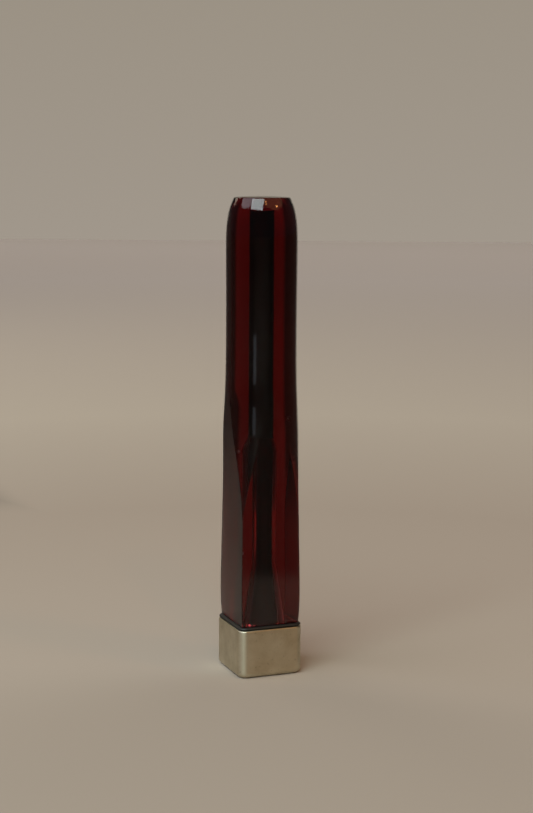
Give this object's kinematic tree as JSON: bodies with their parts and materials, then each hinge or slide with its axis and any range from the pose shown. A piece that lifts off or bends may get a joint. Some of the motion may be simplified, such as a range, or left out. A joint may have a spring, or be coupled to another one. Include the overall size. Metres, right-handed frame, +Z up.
{
  "type": "lipstick case",
  "caption": "Slim upright lipstick case: clear dark red square-to-round pull-off cap on a square metal base, with a twist-up lipstick inside.",
  "frame": {"origin": "centre of the base's underside, on the surface that the case stands on", "axes": "+Z up along the case, X and Y square to the flat sides of the base; -Y is the front"},
  "size_m": [0.018, 0.018, 0.1195],
  "materials": {
    "base_metal": "worn satin nickel silver with light tarnish",
    "sleeve_metal": "satin nickel silver",
    "hidden_steel": "plain steel",
    "brown_resin": "satin dark brown resin",
    "soft_rubber": "matt soft rubber",
    "mechanism_brass": "drawn brass",
    "lipstick_wax": "smooth waxy red",
    "cherry_resin": "polished clear dark cherry red resin",
    "liner_black": "black lacquer",
    "lip_black": "glossy black"
  },
  "bodies": {
    "base": {"base_shell": "base_metal", "base_weight": "hidden_steel", "base_insert": "brown_resin", "push_nut": "hidden_steel", "seat_collar": "brown_resin", "cap_grip_ring": "soft_rubber", "guide_tube": "mechanism_brass", "friction_washer": "soft_rubber", "retaining_ring": "hidden_steel"},
    "swivel": {"spiral_tube": "mechanism_brass", "outer_sleeve": "sleeve_metal"},
    "carrier": {"carrier_cup": "mechanism_brass", "lipstick_bullet": "lipstick_wax"},
    "cap": {"cap_shell": "cherry_resin", "cap_liner": "liner_black", "cap_mouth_ring": "lip_black"}
  },
  "joints": [
    {"name": "cap_lift", "type": "slide", "parent": "base", "child": "cap", "axis": [0, 0, 1], "range_m": [0, 0.11]},
    {"name": "sleeve_turn", "type": "hinge", "parent": "base", "child": "swivel", "pos_m": [0, 0, 0.0139], "axis": [0, 0, 1], "range_deg": [0, 504.05]},
    {"name": "lipstick_rise", "type": "slide", "parent": "base", "child": "carrier", "axis": [0, 0, 1], "range_m": [0, 0.028]}
  ],
  "couplings": [
    {"joint": "sleeve_turn", "follows": "lipstick_rise", "rad_per_m": 314.16}
  ]
}
